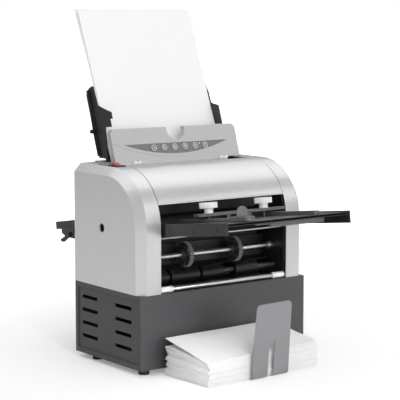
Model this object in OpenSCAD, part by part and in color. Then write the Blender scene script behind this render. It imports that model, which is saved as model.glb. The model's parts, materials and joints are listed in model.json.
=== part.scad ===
// Desk-top paper folding machine. Millimetres, +Z up. X runs along the rollers, -Y is the
// side the folded sheets leave from, and z = 0 is the desk under the feet.

/* [Body] */
// Width over the two side covers
body_w = 308; // [290:1:330]
// Depth from the front face to the rear face
body_d = 175; // [160:1:190]
// Height of the top of the covers above the desk
body_top = 296; // [285:1:310]
// Height of the stand's top plate above the desk
base_top = 117; // [105:1:130]
// Height of the rubber feet
foot_h = 8; // [4:0.5:14]
// Radius of the big round of the covers
nose_r = 85; // [70:1:95]
// Width of the bevel round the outer edge of each side cover
bevel = 12; // [6:1:16]
// Wall of the moulded covers
wall = 2.5; // [1.8:0.1:3.5]
// Distance between the inner faces of the side covers
throat_w = 235; // [228:1:245]
// Sheet metal thickness of the stand
sheet_t = 1.5; // [1:0.1:2.5]

/* [Stand] */
// Border of the stand's side round the vent panel
vent_border = 8; // [5:0.5:14]
// Length of one vent slot
slot_l = 42.5; // [30:0.5:50]
// Height of one vent slot
slot_h = 5.5; // [2:0.5:6]
// Pitch of the vent slots up the panel
slot_pitch = 20; // [12:0.5:25]
// Pitch between the two columns of vent slots
slot_cols = 90; // [60:1:100]
// Diameter of a rubber foot
foot_d = 16; // [10:1:24]
// Width of the closed corner of the stand's rear, at the left
rear_closed = 104; // [20:1:140]

/* [Chassis] */
// Thickness of the chassis plates
plate_t = 2; // [1.5:0.1:3]
// Radius of the front tie rod
rod_r = 2.4; // [2:0.1:4]
// Radius of the lip rod
lip_r = 3.6; // [2:0.1:4]
// Radius of the white caps of the lip rod
lip_cap_r = 4.4; // [3:0.1:6]
// Length of one cap of the lip rod
lip_cap_l = 22; // [10:1:30]

/* [Rollers and gears] */
// Radius of the fold rollers
fold_r = 15.2; // [14:0.05:15.3]
// Teeth of the fold roller gears (a multiple of 8)
fold_n = 32; // [24:8:40]
// Distance between neighbouring fold rollers
fold_pitch = 31; // [30.8:0.05:34]
// Radius of the roller journals
journal_r = 4; // [3:0.1:5]
// Running clearance of every turning shaft, on the radius
run_c = 0.05; // [0.02:0.01:0.1]
// Radius of the feed roller's sleeves
feed_r = 14; // [11:0.1:14.5]
// Radius over the teeth of the delivery wheels
wheel_r = 19.2; // [17:0.1:20]
// Thickness of the delivery wheels
wheel_t = 7; // [5:0.5:10]
// Spacing of the delivery wheels
wheel_gap = 92; // [70:1:110]
// Radius of the exit roller's segments
exit_r = 10.6; // [9:0.1:10.8]
// Face width of the gears
gear_w = 5; // [3:0.5:6]

/* [Hopper] */
// Width of the sheets
paper_w = 210; // [148:1:216]
// Length of the sheets
paper_l = 297; // [210:1:356]
// Thickness of the loaded sheets
paper_t = 2.4; // [0.5:0.1:3]
// Lean of the hopper from upright
hopper_lean = 23; // [20:0.5:35]
// Thickness of the paper guides
guide_t = 1.5; // [1:0.1:3]
// Gap between a sheet edge and its guide
guide_gap = 1.2; // [0.5:0.1:3]

/* [Control panel] */
// Width of the panel
panel_w = 236; // [200:1:240]
// Height of the panel along its slope
panel_h = 54; // [45:1:65]
// Lean of the panel from upright
panel_lean = 19; // [12:0.5:24]
// Thickness at the panel's top
panel_top_t = 9.4; // [8:0.1:9.6]
// Diameter of a key
key_d = 10.4; // [8:0.1:14]
// Pitch of the keys
key_pitch = 19.4; // [15:0.1:24]
// Travel of a key
key_travel = 0.6; // [0.3:0.1:0.8]
// Gap round a key
key_gap = 0.35; // [0.3:0.05:0.6]

/* [Fold plates] */
// Reach of the front fold plate beyond the cluster rod
front_reach = 157; // [120:1:180]
// Reach of the rear fold plate from its inner end
rear_reach = 172; // [130:1:190]
// Slope of both fold plates
plate_slope = 6.85; // [3:0.05:12]
// Width over the flanges of the fold plates
fp_w = 227; // [200:1:229]
// Height of the front plate's flanges
fp_flange = 18; // [12:0.5:24]
// Height of the rear plate's flanges
rp_flange = 12; // [9:0.5:16]
// Thickness of a fold plate sheet
fp_t = 1.2; // [0.8:0.1:2]
// Gap between the two sheets of a fold plate
fp_gap = 2; // [1.2:0.1:3]
// Distance of each thumb knob from the middle
knob_x = 51; // [40:1:70]
// Diameter of a thumb knob's head
knob_d = 26.5; // [20:0.5:36]
// Height of a thumb knob's head
knob_h = 8; // [6:0.5:14]
// Diameter of a thumb knob's neck
knob_neck_d = 13.4; // [8:0.2:18]
// Height of a thumb knob's neck
knob_neck_h = 7.5; // [4:0.5:10]
// Length of the stop bar
bar_l = 163; // [140:1:190]
// Distance of the lengthwise rails from the middle
rail_x = 62; // [60:0.5:80]

/* [Output] */
// Length of the folded sheets
fold_l = 210; // [148:1:216]
// Depth of the folded stack
fold_d = 99; // [70:1:110]
// Height of the folded stack at the back
fold_h = 52; // [30:1:80]
// How much lower the stack is at the front
fold_drop = 13; // [0:1:20]
// Width of the metal stop at its foot
stop_w = 71; // [40:1:90]
// Height of the metal stop
stop_h = 111; // [80:1:140]
// Thickness of the metal stop
stop_t = 1.2; // [0.8:0.1:2]
// Lean of the metal stop away from the stack
stop_lean = 5; // [0:0.5:12]
// Outer radius of the stop's bend
stop_bend = 5; // [3:0.5:8]

/* [Hidden] */

$fn = 64;
eps = 0.01;
hw = body_w/2;
hd = body_d/2;
ht = throat_w/2;
cy = nose_r - hd;            // centre of the nose round
cz = body_top - nose_r;
ch_i = ht - plate_t;         // inner face of a chassis plate

// gears: one tooth size for the whole train
m = fold_pitch/fold_n;
gx = ht + 1.5;               // first gear plane
gx2 = gx + gear_w + 1.5;     // second gear plane
g2w = 4;
function frac(v) = v - floor(v);
function mesh(n1, p1, n2, th) = th + 180 - 360/n2*(0.5 - frac((th - p1)/(360/n1)));
function at(c, r, a) = [c[0] + r*cos(a), c[1] + r*sin(a)];

// fold roller cluster, (y, z); the rear roller is in line with the hole in the left cover
hole_y = 12.2;
hole_z = 205.8;
rear_c = [hole_y, hole_z];
low_c = at(rear_c, fold_pitch, 225);
front_c = at(low_c, fold_pitch, 135);
top_c = at(front_c, fold_pitch, 45);
th_feed = 48;
th_del = 243.4;
th_exit = 258.7;
th_mi = -35;
th_mp = -40;
n_fi = 28; n_fd = 30; n_di = 20; n_dg = 23; n_d2 = 35; n_ex = 28; n_mi = 40; n_mp = 16;
fi_c = at(top_c, m*(fold_n + n_fi)/2, th_feed);
feed_c = at(fi_c, m*(n_fi + n_fd)/2, th_feed);
di_c = at(front_c, m*(fold_n + n_di)/2, th_del);
del_c = at(di_c, m*(n_di + n_dg)/2, th_del);
exit_c = at(del_c, m*(n_d2 + n_ex)/2, th_exit);
mi_c = at(low_c, m*(fold_n + n_mi)/2, th_mi);
mp_c = at(mi_c, m*(n_mi + n_mp)/2, th_mp);
ph_top = 45; // a tooth of the top gear faces the rear and front gears
ph_rear = mesh(fold_n, ph_top, fold_n, -45);
ph_front = mesh(fold_n, ph_top, fold_n, 225);
ph_low = mesh(fold_n, ph_rear, fold_n, 225);
ph_fi = mesh(fold_n, ph_top, n_fi, th_feed);
ph_fd = mesh(n_fi, ph_fi, n_fd, th_feed);
ph_di = mesh(fold_n, ph_front, n_di, th_del);
ph_dg = mesh(n_di, ph_di, n_dg, th_del);
ph_ex = mesh(n_d2, 0, n_ex, th_exit);
ph_mi = mesh(fold_n, ph_low, n_mi, th_mi);
ph_mp = mesh(n_mi, ph_mi, n_mp, th_mp);
wheel_x = -3;                // middle between the delivery wheels
exit_spans = [[-112, -90], [-84, -33], [-28, 13], [35, 78]];  // ends of the exit roller's segments

// hopper frame: origin on the middle of the sheets at the cover's height
hop_y = 56.9;
paper_end = 48.5;            // how far the sheets reach below the hopper's zero line
tray_n = paper_t/2 + 0.6;
pinion_n = 16; rack_m = 1;
pinion_t = 36;
rack_n = 20; rack_w = 4;     // how far behind the sheets the racks run, and their width
hinge_r = 1.5;
rest_n = 22; rest_t = 57;    // the rod that carries the tray and the guides
strip_z = 0.6; strip_t = 1.2;
strip_y = 25.5;              // front edge of the strip behind the top cover
strip_gap_x = 90;            // where its open corner starts
guide_in = paper_w/2 + guide_gap;
pan_y = 27;
panel_foot_t = 2.2;
lens_r = 286; lens_s = 10.7; // the lens's lower edge: radius, and its lowest point up the slope
lens_top = 28; lens_hw = 98;
crease = 4.2;                // how far the panel's crease runs outside the lens's lower edge
key_s = 21;
key_x0 = -44.5;
board_n = 2.55;
lip_z = body_top - 50.2;     // the top cover's lower edge
hinge_y = 18;
seam = 1.2;                  // gap between the top cover and each side cover
hinge_z = body_top - 7;
sw_x = -130; sw_y = 6.6;     // middle of the switch
sw_h = 11.2;                 // half the length of its bezel
pocket_x = 132;              // outer side of the pocket beside the left guide
fp_o = [-79, 199.7];         // fold plate frame: on the front tie rod
fp_in = 25;
rp_o = [36, 199];
fp_z = 12;
rp_z = 3;
latch_c = [129, -8.5];       // pivot of the rear plate's latch
kn_u = -38;
bar_z = 24.4;
bar_t = 4;
bar_x0 = knob_x + 38 - bar_l;  // the front bar's ends: it reaches further out at the right
bar_x1 = knob_x + 38;
slide_u = -129.5;
stack_c = [-12, -146];       // middle of the folded stack, and how far it is turned
stack_a = 2.8;
stop_x = 6;                  // middle of the metal stop along the stack

// the two fold plates reach furthest, so they set the middle of the part's depth
y_front = fp_o[0] - (front_reach + 1.5)*cos(plate_slope);
y_rear = rp_o[0] + (rear_reach + 1.5)*cos(plate_slope) + rp_flange*sin(plate_slope);
y_mid = -(y_front + y_rear)/2;

// ---------- small helpers ----------
module place() translate([0, y_mid, 0]) children();
module xprism(x0, x1) translate([x0, 0, 0]) rotate([90, 0, 90]) linear_extrude(x1 - x0) children();
module xcyl(r, x0, x1, c) translate([x0, c[0], c[1]]) rotate([0, 90, 0]) cylinder(r = r, h = x1 - x0);
module box(lo, hi) translate(lo) cube(hi - lo);
module gear2d(n, ph, c, mm = m) {
  p = 360/n; rr = mm*(n/2 - 1.15); rt = mm*(n/2 + 0.8);
  translate(c) polygon([for (i = [0:n - 1], k = [[rr, -0.26], [rt, -0.1], [rt, 0.1], [rr, 0.26]])
    [k[0]*cos(ph + p*(i + k[1])), k[0]*sin(ph + p*(i + k[1]))]]);
}
module gear(n, ph, c, x0, w, bore) difference() {
  xprism(x0, x0 + w) gear2d(n, ph, c);
  xcyl(bore, x0 - 1, x0 + w + 1, c);
}
module hopper() translate([0, hop_y, body_top + 1]) rotate([-hopper_lean, 0, 0]) children();
module panel() translate([0, pan_y, body_top + 1]) rotate([-panel_lean, 0, 0]) children();
module fplate() translate([0, fp_o[0], fp_o[1]]) rotate([-plate_slope, 0, 0]) children();
module rplate() translate([0, rp_o[0], rp_o[1]]) rotate([-plate_slope, 0, 0]) children();
module sym() { children(); mirror([1, 0, 0]) children(); }

// body profile in (y, z), shrunk by o
module profile(o, z0) union() {
  intersection() {
    translate([cy, cz]) circle(r = nose_r - o, $fn = 180);
    translate([-hd, cz]) square([nose_r, nose_r]);
  }
  translate([-hd + o, z0]) square([nose_r - o, cz - z0]);
  translate([cy, z0]) square([hd - o - cy, body_top - o - z0]);
}

// ---------- stand ----------
module stand_frame() place() color([0.2, 0.2, 0.21]) difference() {
  union() {
    box([-hw, -hd, base_top - sheet_t], [hw, hd, base_top]);
    box([-hw, -hd, foot_h], [hw, -hd + sheet_t, base_top]);
    sym() difference() {
      box([-hw, -hd, foot_h], [-hw + sheet_t, hd, base_top]);
      box([-hw - 1, -hd + vent_border, foot_h + vent_border],
          [-hw + 5, hd - vent_border, base_top - vent_border]);
    }
    sym() box([-hw, -hd + sheet_t, foot_h], [-hw + 34, hd, foot_h + sheet_t]);
    box([-hw, hd - sheet_t, foot_h], [-hw + rear_closed, hd, base_top]);
    box([hw - 14, hd - sheet_t, foot_h], [hw, hd, base_top]);
    box([-hw, hd - sheet_t, base_top - 14], [hw, hd, base_top]);
    box([-hw, hd - sheet_t, foot_h], [hw, hd, foot_h + 14]);
  }
  box([-60, 20, base_top - 5], [-30, 52, base_top + 5]);
}
module vent_panel(sgn) color([0.19, 0.19, 0.2]) difference() {
  box([sgn*(hw - sheet_t - 0.75) - 0.75, -hd + vent_border - 3, foot_h + vent_border - 3],
      [sgn*(hw - sheet_t - 0.75) + 0.75, hd - vent_border + 3, base_top - vent_border + 3]);
  for (j = [-1, 1], i = [0:3])
    translate([0, 4 + j*slot_cols/2, 35.5 + i*slot_pitch])
      box([-hw - 5, -slot_l/2, -slot_h/2], [hw + 5, slot_l/2, slot_h/2]);
}
module vent_panels() place() { vent_panel(-1); vent_panel(1); }
module rubber_feet() place() color([0.06, 0.06, 0.06])
  for (sx = [-1, 1], y = [-72, 50]) translate([sx*(hw - 16), y, 0])
    cylinder(d = foot_d, h = foot_h);

// ---------- covers ----------
module cover_body(o, z0, x0) {
  x1 = hw - o;
  b = bevel;
  // nose: a quarter turn of the bevelled section
  translate([0, cy, cz]) rotate([0, 90, 0]) rotate([0, 0, 180])
    rotate_extrude(angle = 90, $fn = 180)
      polygon([[0, x0], [nose_r - o, x0], [nose_r - o, x1 - b], [nose_r - o - b, x1], [0, x1]]);
  // front wall block
  translate([0, 0, z0]) linear_extrude(cz - z0)
    polygon([[x0, -hd + o], [x1 - b, -hd + o], [x1, -hd + o + b], [x1, cy], [x0, cy]]);
  // top and rear block
  translate([0, hd - o, 0]) rotate([90, 0, 0]) linear_extrude(hd - o - cy)
    polygon([[x0, z0], [x1, z0], [x1, body_top - o - b], [x1 - b, body_top - o],
      [x0, body_top - o]]);
}
module side_cover() difference() {
  cover_body(0, base_top, ht);
  cover_body(wall, base_top - 5, ht - 2);
}
module side_cover_left() place() color([0.72, 0.72, 0.73]) difference() {
  union() {
    mirror([1, 0, 0]) side_cover();
    // floor and walls of the pocket beside the left guide
    box([-pocket_x, 34, body_top - 7], [-ht, hd - 1.5, body_top - 1]);
  }
  xcyl(6.6, -hw - 5, -hw + 8, rear_c);
  box([sw_x - 6.6, sw_y - sw_h + 1.8, body_top - 8], [sw_x + 6.6, sw_y + sw_h - 1.8, body_top + 3]);
  box([2 - pocket_x, 36, body_top - 5], [-ht - 1, hd - 3.5, body_top + 3]);
}
module side_cover_right() place() color([0.72, 0.72, 0.73]) side_cover();
module rear_panel() place() color([0.7, 0.7, 0.71]) union() {
  rear_wall();
  top_strip();
}
module rear_wall() difference() {
  box([-ht, hd - wall, base_top], [ht, hd, body_top + strip_z + eps]);
  box([-ht + 1.2, hd - 5, 188], [ht - 1.2, hd + 5, 222]);
  box([-101, hd - 5, 126], [-73, hd + 5, 146]);
  for (i = [0:5]) box([20, hd - 5, 240 + 7*i], [90, hd + 5, 243 + 7*i]);
}
module top_strip() difference() {
  union() {
    box([-ht, strip_y, body_top + strip_z], [ht, hd, body_top + strip_z + strip_t]);
    box([-ch_i, strip_y, body_top - 8], [ch_i, strip_y + 1.5, body_top + strip_z + strip_t]);
  }
  // throat the sheets and their guides drop through
  box([-ht + 1, 29.6, body_top - 5], [ht - 1, 78, body_top + 5]);
  // open corner at the right
  box([strip_gap_x, strip_y - 1, body_top - 9], [ht - 1, 30, body_top + 5]);
}
// profile of the top cover: the nose round runs on to its rear edge, below the side covers
module cover_arc(o, z0) union() {
  intersection() {
    translate([cy, cz]) circle(r = nose_r - o, $fn = 180);
    translate([-hd, cz]) square([2*nose_r, nose_r]);
  }
  translate([-hd + o, z0]) square([nose_r - o, cz - z0]);
}
module top_cover() place() color([0.74, 0.74, 0.75]) difference() {
  union() {
    difference() {
      xprism(-ht + seam, ht - seam) difference() {
        cover_arc(0, lip_z - 6);
        cover_arc(wall, lip_z - 46);
        translate([-hd - 1, 100]) square([body_d + 9, lip_z - 100]);
        translate([hinge_y + 2, 100]) square([200, 300]);
      }
      sym() box([ch_i - 1, 8, body_top - 8], [ht + 1, 40, body_top + 5]);
    }
    // lower return lip
    xprism(-ch_i + 1, ch_i - 1)
      translate([0, lip_z]) polygon([[-79.6, 0], [-73, 1.8], [-73, 3.4], [-79.6, 2.4]]);
    for (x = [-90, 0, 90]) {
      xcyl(3, x - 12, x + 12, [hinge_y, hinge_z]);
      box([x - 12, hinge_y - 2, hinge_z], [x + 12, hinge_y + 2, body_top - 4]);
    }
  }
  xcyl(hinge_r + run_c, -ht, ht, [hinge_y, hinge_z]);
}

// ---------- chassis ----------
module chassis(sx) color([0.07, 0.07, 0.075])
  xprism(sx > 0 ? ch_i : -ht, sx > 0 ? ht : -ch_i) difference() {
    profile(4, base_top);
    for (c = [rear_c, low_c, front_c, top_c, feed_c, del_c, exit_c])
      translate(c) circle(r = journal_r + run_c);
    translate([hinge_y, hinge_z]) circle(r = hinge_r);
    if (sx > 0) translate(mp_c) circle(r = 8);
  }
module chassis_left() place() chassis(-1);
module chassis_right() place() color([0.07, 0.07, 0.075]) union() {
  chassis(1);
  // studs the idler gears turn on
  for (c = [fi_c, di_c, mi_c]) xcyl(3, ht - eps, gx + gear_w + 1, c);
}
module cross_rods() place() color([0.72, 0.72, 0.74]) {
  // the front one carries the fold plate, the thin one is the cover's hinge rod
  xcyl(rod_r, -ch_i, ch_i, [fp_o[0], fp_o[1] - rod_r - 0.3]);
  xcyl(hinge_r, -ht, ht, [hinge_y, hinge_z]);
  hopper() xcyl(3, -116, 116, [rest_n, rest_t]);
  xcyl(4, -ch_i, ch_i, [72, 262]);
  xcyl(4, -ch_i, ch_i, [56, 124]);
  xcyl(4, -ch_i, ch_i, [-30, 124]);
}
module lip_rod() place() color([0.9, 0.9, 0.9]) union() {
  xcyl(lip_r, -ch_i + lip_cap_l, ch_i - lip_cap_l, [-81.5, base_top + 5]);
  sym() xcyl(lip_cap_r, ch_i - lip_cap_l, ch_i, [-81.5, base_top + 5]);
}
module inner_guides() place() color([0.08, 0.08, 0.085]) {
  inner_guard();
  exit_guide_upper();
  exit_guide_lower();
  nip_bracket();
}
module inner_guard() union() {
  box([-ch_i, -54, 228], [ch_i, -52.8, 252]);
  sym() box([-ch_i, -54, 228], [-ch_i + 1.2, -44, 252]);
}
module exit_guide_upper() union() {
  box([-ch_i, -30.6, 148], [ch_i, -29.4, 179]);
  sym() box([-ch_i, -30.6, 150], [-ch_i + 1.2, -20, 166]);
}
module exit_guide_lower() xprism(-ch_i, ch_i)
  polygon([[14, 164], [6, 160.4], [-44, 143.4], [-44, 142.1], [6, 159.1], [14, 162.6]]);
module nip_bracket() union() {
  box([-ch_i, -76, 147], [-ch_i + 1.6, -62, 156]);
  for (c = [[-73, 150], [-65, 153]]) xcyl(2.2, -ch_i + 1.6, -ch_i + 3.4, c);
}

// ---------- hopper ----------
module tray_plate() hopper() difference() {
  union() {
    box([-guide_in + 1.2, tray_n, -45], [guide_in - 1.2, tray_n + 1.5, 112]);
    sym() box([-guide_in + 1.2, tray_n, -6], [-guide_in + 2.7, tray_n + 14, 24]);
  }
  box([-13, 0, -50], [13, 8, -23]);
  for (x = [-70, 70]) box([x - 18, 0, 66], [x + 18, 8, 72]);
}
module feed_tray() place() color([0.07, 0.07, 0.07]) union() {
  tray_plate();
  tray_brackets();
  // stud of the pinion that ties the two guides together
  hopper() translate([0, tray_n + 1.5 - eps, pinion_t]) rotate([-90, 0, 0]) {
    cylinder(r = 4, h = rack_n - tray_n - 2);
    cylinder(r = 2, h = rack_n - tray_n + rack_w - 1);
  }
  separator_leaf();
}
module tray_brackets() hopper() for (x = [-62, 60])
  difference() {
    box([x, tray_n + 1.5 - eps, rest_t - 7], [x + 2, rest_n + 6, rest_t + 7]);
    xcyl(3, x - 1, x + 3, [rest_n, rest_t]);
  }
// rack in the hopper's (x, t) plane, teeth down towards the pinion
module rack2d(x0, x1) translate([0, pinion_t + pinion_n*rack_m/2])
  polygon(concat([[x0, 6], [x0, 1.2]],
    [for (i = [-6:3], k = [[-0.26, 1.2], [-0.1, -0.8], [0.1, -0.8], [0.26, 1.2]])
      [PI*rack_m*(i + 0.5 + k[0]), k[1]]],
    [[x1, 1.2], [x1, 6]]));
module rack_plane(t) translate([0, rack_n + rack_w, 0]) rotate([90, 0, 0]) linear_extrude(t) children();
// front edges of the two guides: the left one is stepped, the right one plain
stepped_front = [[55, 54.5], [59.5, 66], [52.8, 67], [56, 76.7], [68, 79]];
plain_front = [[61, 53], [70, 79.6], [86.8, 82.1]];
module guide_side(front) {
  difference() {
    union() {
      // outline in (y, height above the body's top)
      xprism(-guide_in - guide_t, -guide_in) translate([0, body_top])
        polygon(concat([[106, 114], [112, 112.6], [118, 109.4], [122.4, 105], [124.5, 99],
          [103.5, 39], [100, 37], [89, 5], [65, 5], [72, 53]], front, [[93, 85]]));
      // rib down its rear edge
      xprism(-guide_in - guide_t - 4, -guide_in - guide_t + eps) translate([0, body_top])
        polygon([[116, 107], [118.4, 106], [98.5, 39], [87.5, 8], [85.5, 8], [96.5, 40]]);
    }
    hopper() xcyl(3 + run_c, -130, -90, [rest_n, rest_t]);
  }
}
module guide_left() place() color([0.055, 0.055, 0.055]) union() {
  guide_side(stepped_front);
  hopper() rack_plane(rack_w) rack2d(-guide_in - eps, 16);
}
module guide_right() place() color([0.055, 0.055, 0.055]) mirror([1, 0, 0]) union() {
  guide_side(plain_front);
  // its rack runs under the pinion
  hopper() translate([0, 0, 2*pinion_t]) mirror([0, 0, 1]) rack_plane(rack_w) rack2d(-guide_in - eps, 16);
}
module guide_pinion() place() color([0.85, 0.85, 0.82]) hopper() rack_plane(rack_w - 0.4)
  difference() {
    gear2d(pinion_n, 0, [0, pinion_t], rack_m);
    translate([0, pinion_t]) circle(r = 2 + run_c);
  }
module separator_leaf() hopper() union() {
  box([-9, 10.5, -43], [9, 11.3, -17]);
  box([-9, tray_n + 1.5, -19], [9, 11.3, -17]);
}
module separator_pad() place() color([0.45, 0.25, 0.2]) hopper()
  box([-10, paper_t/2 + 0.2, -43], [10, 8.6, -28]);

// ---------- control panel ----------
// outline in the panel's (x, s) plane
module panel2d() polygon([[-panel_w/2, -0.01], [panel_w/2, -0.01], [panel_w/2, panel_h - 6],
  [panel_w/2 - 5, panel_h], [-panel_w/2 + 5, panel_h], [-panel_w/2, panel_h - 6]]);
module lens2d(g) intersection() {
  translate([0, lens_s + lens_r]) circle(r = lens_r - g, $fn = 360);
  translate([-lens_hw - 4, -5]) square([2*lens_hw + 8, lens_top + 5 - g]);
}
module slab(n0, n1) translate([0, n1, 0]) rotate([90, 0, 0]) linear_extrude(n1 - n0) children();
module panel_shell() place() color([0.72, 0.72, 0.73]) difference() {
  panel_body();
  box([-200, 0, 200], [200, 60, body_top + strip_z + strip_t]);
}
module panel_body() panel() difference() {
  intersection() {
    slab(0, 12) panel2d();
    xprism(-panel_w/2, panel_w/2)
      polygon([[0, 0], [panel_foot_t, 0], [panel_top_t, panel_h], [1.6, panel_h], [0, panel_h - 1.6]]);
  }
  // lower band set back under the crease
  slab(-1, 0.7) difference() {
    translate([-panel_w, -1]) square([2*panel_w, 34]);
    translate([0, lens_s + lens_r]) circle(r = lens_r + crease, $fn = 360);
  }
  slab(-1, 0.9) lens2d(0);
  // room for the board
  xprism(-80, 90) polygon([[1.9, 15], [3.5, 15], [4.9, 29.5], [1.9, 29.5]]);
  for (i = [0:5]) translate([key_x0 + i*key_pitch, -1, key_s]) rotate([-90, 0, 0])
    cylinder(d = key_d + 2*key_gap, h = 3.2);
  translate([2, -2, panel_h - 5]) rotate([-90, 0, 0]) cylinder(r = 17, h = 20);
}
module panel_lens() place() color([0.24, 0.24, 0.25]) panel() difference() {
  slab(0.1, 0.9) lens2d(0.15);
  for (i = [0:5]) translate([key_x0 + i*key_pitch, -1, key_s]) rotate([-90, 0, 0])
    cylinder(d = key_d + 2*key_gap, h = 3);
}
module boards() place() color([0.1, 0.3, 0.16]) { panel_board(); control_board(); }
module panel_board() panel()
  box([-70, board_n, 15.8], [80, board_n + 0.8, 28.6]);
module key(i) color([0.3, 0.3, 0.31]) panel() translate([key_x0 + i*key_pitch, -0.9, key_s])
  rotate([-90, 0, 0]) cylinder(d = key_d, h = 2.6);
module key_1() place() key(0);
module key_2() place() key(1);
module key_3() place() key(2);
module key_4() place() key(3);
module key_5() place() key(4);
module key_6() place() key(5);
module switch_bezel() place() color([0.05, 0.05, 0.05]) translate([sw_x, sw_y, body_top]) difference() {
  union() {
    box([-8.2, -sw_h, 0], [8.2, sw_h, 1.6]);
    box([-6.6, -sw_h + 1.8, -16], [6.6, sw_h - 1.8, 0]);
  }
  box([-5.2, -sw_h + 3, -9], [5.2, sw_h - 3, 4]);
  translate([0, 0, 0.2]) xcyl(1.2, -6, 6, [0, 0]);
}
module rocker() place() color([0.75, 0.06, 0.08]) translate([sw_x, sw_y, body_top]) union() {
  xcyl(1.2 - run_c, -6, 6, [0, 0.2]);
  xprism(-4.7, 4.7) polygon([[-7.5, 1.1], [-7.2, 1.9], [0, 3.2], [7.2, 5.2], [7.6, 4.5],
    [6.8, 0.4], [3, -3], [-3, -3]]);
}

// ---------- drive ----------
module feed_shaft() place() color([0.7, 0.7, 0.72]) union() {
  xcyl(journal_r, -ht - 1, gx + gear_w + 0.8, feed_c);
  xprism(gx, gx + gear_w) gear2d(n_fd, ph_fd, feed_c);
}
module feed_sleeves() place() color([0.1, 0.1, 0.1]) for (x = [-44, 0, 44]) difference() {
  xcyl(feed_r, x - 13, x + 13, feed_c);
  xcyl(journal_r, x - 14, x + 14, feed_c);
}
module fold_roller(c, ph, x0) color([0.12, 0.12, 0.125]) union() {
  xcyl(fold_r, -110, 110, c);
  xcyl(journal_r, x0, gx + gear_w + 0.4, c);
  xprism(gx, gx + gear_w) gear2d(fold_n, ph, c);
}
module fold_roller_top() place() fold_roller(top_c, ph_top, -ht - 1);
module fold_roller_front() place() fold_roller(front_c, ph_front, -ht - 1);
module fold_roller_rear() place() fold_roller(rear_c, ph_rear, -hw + 4);
module fold_roller_low() place() fold_roller(low_c, ph_low, -ht - 1);
module feed_idler() place() color([0.85, 0.85, 0.82]) gear(n_fi, ph_fi, fi_c, gx, gear_w, 3 + run_c);
module delivery_idler() place() color([0.85, 0.85, 0.82]) gear(n_di, ph_di, di_c, gx, gear_w, 3 + run_c);
module motor_idler() place() color([0.85, 0.85, 0.82]) gear(n_mi, ph_mi, mi_c, gx, gear_w, 3 + run_c);
module motor() place() color([0.35, 0.36, 0.38]) difference() {
  union() {
    xcyl(19, ch_i - 55, ch_i, mp_c);
    xcyl(7, ch_i - 60, ch_i - 55, mp_c);
  }
  xcyl(2.5 + run_c, ch_i - 40, ch_i + 1, mp_c);
}
module motor_pinion() place() color([0.6, 0.6, 0.62]) union() {
  xcyl(2.5, ch_i - 38, gx + gear_w + 0.6, mp_c);
  xprism(gx, gx + gear_w) gear2d(n_mp, ph_mp, mp_c);
}
module delivery_shaft() place() color([0.72, 0.72, 0.74]) union() {
  xcyl(journal_r, -ht - 1, gx2 + g2w + 0.6, del_c);
  xcyl(6, ch_i - 6, ch_i - 0.4, del_c);
  xprism(gx, gx + gear_w) gear2d(n_dg, ph_dg, del_c);
  xprism(gx2, gx2 + g2w) gear2d(n_d2, 0, del_c);
}
module delivery_wheel(x) difference() {
  union() {
    xprism(x - wheel_t/2, x + wheel_t/2) difference() {
      gear2d(40, 0, del_c, wheel_r/20.8);
      for (a = [0:60:300]) translate(at(del_c, 11.6, a)) circle(r = 3.2);
    }
    xcyl(8, x - wheel_t/2 - 5, x + wheel_t/2, del_c);
  }
  xcyl(journal_r, x - 20, x + 20, del_c);
}
module delivery_wheels() place() color([0.09, 0.09, 0.095])
  for (side = [-1, 1]) delivery_wheel(wheel_x + side*wheel_gap/2);
module exit_shaft() place() color([0.72, 0.72, 0.74]) union() {
  xcyl(journal_r, -ht - 1, gx2 + g2w + 0.6, exit_c);
  xprism(gx2, gx2 + g2w) gear2d(n_ex, ph_ex, exit_c);
}
module exit_segments() place() color([0.1, 0.1, 0.1]) for (x = exit_spans) difference() {
  xcyl(exit_r, x[0], x[1], exit_c);
  xcyl(journal_r, x[0] - 1, x[1] + 1, exit_c);
}

// ---------- front fold plate, in its own sloped frame; u < 0 is outwards ----------
module plate_pair(w, u0, u1, z, slots) {
  for (k = [0, 1]) difference() {
    box([-w/2, u0, z + k*(fp_t + fp_gap)], [w/2, u1, z + k*(fp_t + fp_gap) + fp_t]);
    for (s = slots) box([s[0] - s[1], s[2], z - 1], [s[0] + s[1], s[3], z + 9]);
  }
}
// the slots the knobs' screws run in: middle, half width and the two ends
function knob_slots(u, before, after) = [for (x = [-knob_x, knob_x]) [x, 2.6, u - before, u + after]];
module front_plate() place() color([0.09, 0.09, 0.095]) fplate() union() {
  plate_pair(fp_w - 2, -front_reach, fp_in, fp_z, knob_slots(kn_u, 54, 14));
  sym() box([-fp_w/2, -front_reach - 1.5, 0], [-fp_w/2 + 1.4, fp_in, fp_flange]);
  // turned-in ends of the flanges
  sym() box([-fp_w/2, -front_reach - 1.5, 0], [-fp_w/2 + 3.2, -front_reach - 0.3, fp_flange]);
  // spacers that hold the two sheets apart
  sym() box([-fp_w/2 + 1, -front_reach + 4, fp_z], [-fp_w/2 + 5, fp_in - 4, fp_z + 2*fp_t + fp_gap]);
}
module plate_screws() place() color([0.45, 0.45, 0.46]) fplate() sym()
  for (u = [-22, -78, -133]) xcyl(2, -fp_w/2 - 1.1, -fp_w/2, [u, 7]);
top_z = fp_z + 2*fp_t + fp_gap;
module plate_rails() place() color([0.36, 0.36, 0.37]) fplate() {
  box([-rail_x - 5, -front_reach + 9, top_z], [-rail_x + 5, 14, top_z + 4.6]);
  box([rail_x - 3, -front_reach + 14, top_z], [rail_x + 7, -26, top_z + 5.6]);
  // stiffener under the lower sheet
  box([-11, -front_reach + 29, fp_z - 8], [90, -front_reach + 35, fp_z]);
  box([-36, -front_reach + 31, fp_z - 3.5], [-11, -front_reach + 35, fp_z]);
}
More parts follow.
